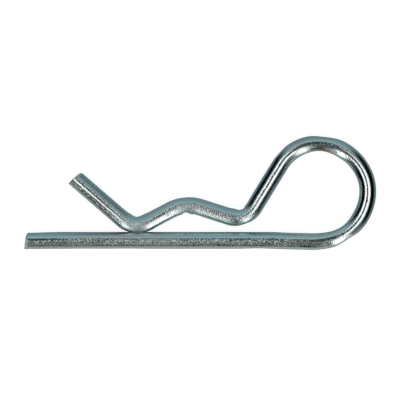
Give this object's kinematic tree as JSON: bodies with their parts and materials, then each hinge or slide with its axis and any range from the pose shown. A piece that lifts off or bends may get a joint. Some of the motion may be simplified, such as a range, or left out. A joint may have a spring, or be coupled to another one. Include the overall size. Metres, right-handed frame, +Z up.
{
  "type": "hitch r clip pin",
  "caption": "Spring clip bent from one round zinc-plated steel wire: a straight leg, a round spring loop and a waved arm that grips a hitch pin.",
  "frame": {"origin": "the middle of the clip's outline, on the surface that the clip lies on", "axes": "+X along the leg from its cut end towards the loop, +Y from the leg towards the arm, +Z up, out of the plane the wire is bent in"},
  "size_m": [0.0834, 0.0271, 0.004],
  "materials": {
    "zinc_plated_wire": "bright blue-white zinc plating on drawn spring steel wire"
  },
  "bodies": {
    "root": {"r_clip": "zinc_plated_wire"}
  },
  "joints": []
}
